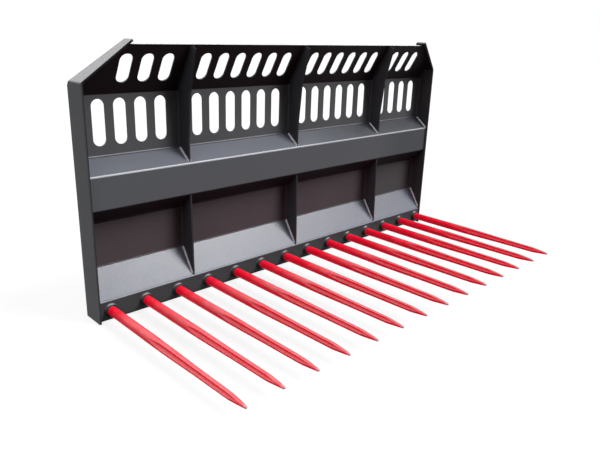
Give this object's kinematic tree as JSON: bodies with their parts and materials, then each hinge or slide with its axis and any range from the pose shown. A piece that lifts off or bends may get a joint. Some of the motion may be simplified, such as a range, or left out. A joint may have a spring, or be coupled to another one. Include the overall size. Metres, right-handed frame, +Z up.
{
  "type": "loader silage fork",
  "caption": "Wide welded steel fork for a front loader: slotted leaning back panel with ribs, a folded beam and a row of long pointed tines.",
  "frame": {"origin": "on the floor, under the middle of the whole fork", "axes": "+X along the width to the right as seen from the tines' side facing the panel, -Y the way the tines point, +Z up"},
  "size_m": [2.42, 1.237, 1.2283],
  "materials": {
    "frame_paint": "satin anthracite paint",
    "sleeve_paint": "satin grey paint",
    "tine_paint": "gloss red paint",
    "nut_steel": "zinc plated"
  },
  "bodies": {
    "root": {"left_end_plate": "frame_paint", "right_end_plate": "frame_paint", "slotted_panel": "frame_paint", "lower_panel": "frame_paint", "mid_beam": "frame_paint", "bottom_tube": "frame_paint", "upper_rib_1": "frame_paint", "upper_rib_2": "frame_paint", "upper_rib_3": "frame_paint", "lower_rib_1": "frame_paint", "lower_rib_2": "frame_paint", "lower_rib_3": "frame_paint", "lower_shelf_1": "frame_paint", "lower_shelf_2": "frame_paint", "lower_shelf_3": "frame_paint", "lower_shelf_4": "frame_paint", "left_hitch_plate": "frame_paint", "right_hitch_plate": "frame_paint", "sleeve_01": "sleeve_paint", "sleeve_02": "sleeve_paint", "sleeve_03": "sleeve_paint", "sleeve_04": "sleeve_paint", "sleeve_05": "sleeve_paint", "sleeve_06": "sleeve_paint", "sleeve_07": "sleeve_paint", "sleeve_08": "sleeve_paint", "sleeve_09": "sleeve_paint", "sleeve_10": "sleeve_paint", "sleeve_11": "sleeve_paint", "sleeve_12": "sleeve_paint", "sleeve_13": "sleeve_paint", "sleeve_14": "sleeve_paint", "tine_01": "tine_paint", "tine_02": "tine_paint", "tine_03": "tine_paint", "tine_04": "tine_paint", "tine_05": "tine_paint", "tine_06": "tine_paint", "tine_07": "tine_paint", "tine_08": "tine_paint", "tine_09": "tine_paint", "tine_10": "tine_paint", "tine_11": "tine_paint", "tine_12": "tine_paint", "tine_13": "tine_paint", "tine_14": "tine_paint", "tine_nuts": "nut_steel"}
  },
  "joints": []
}
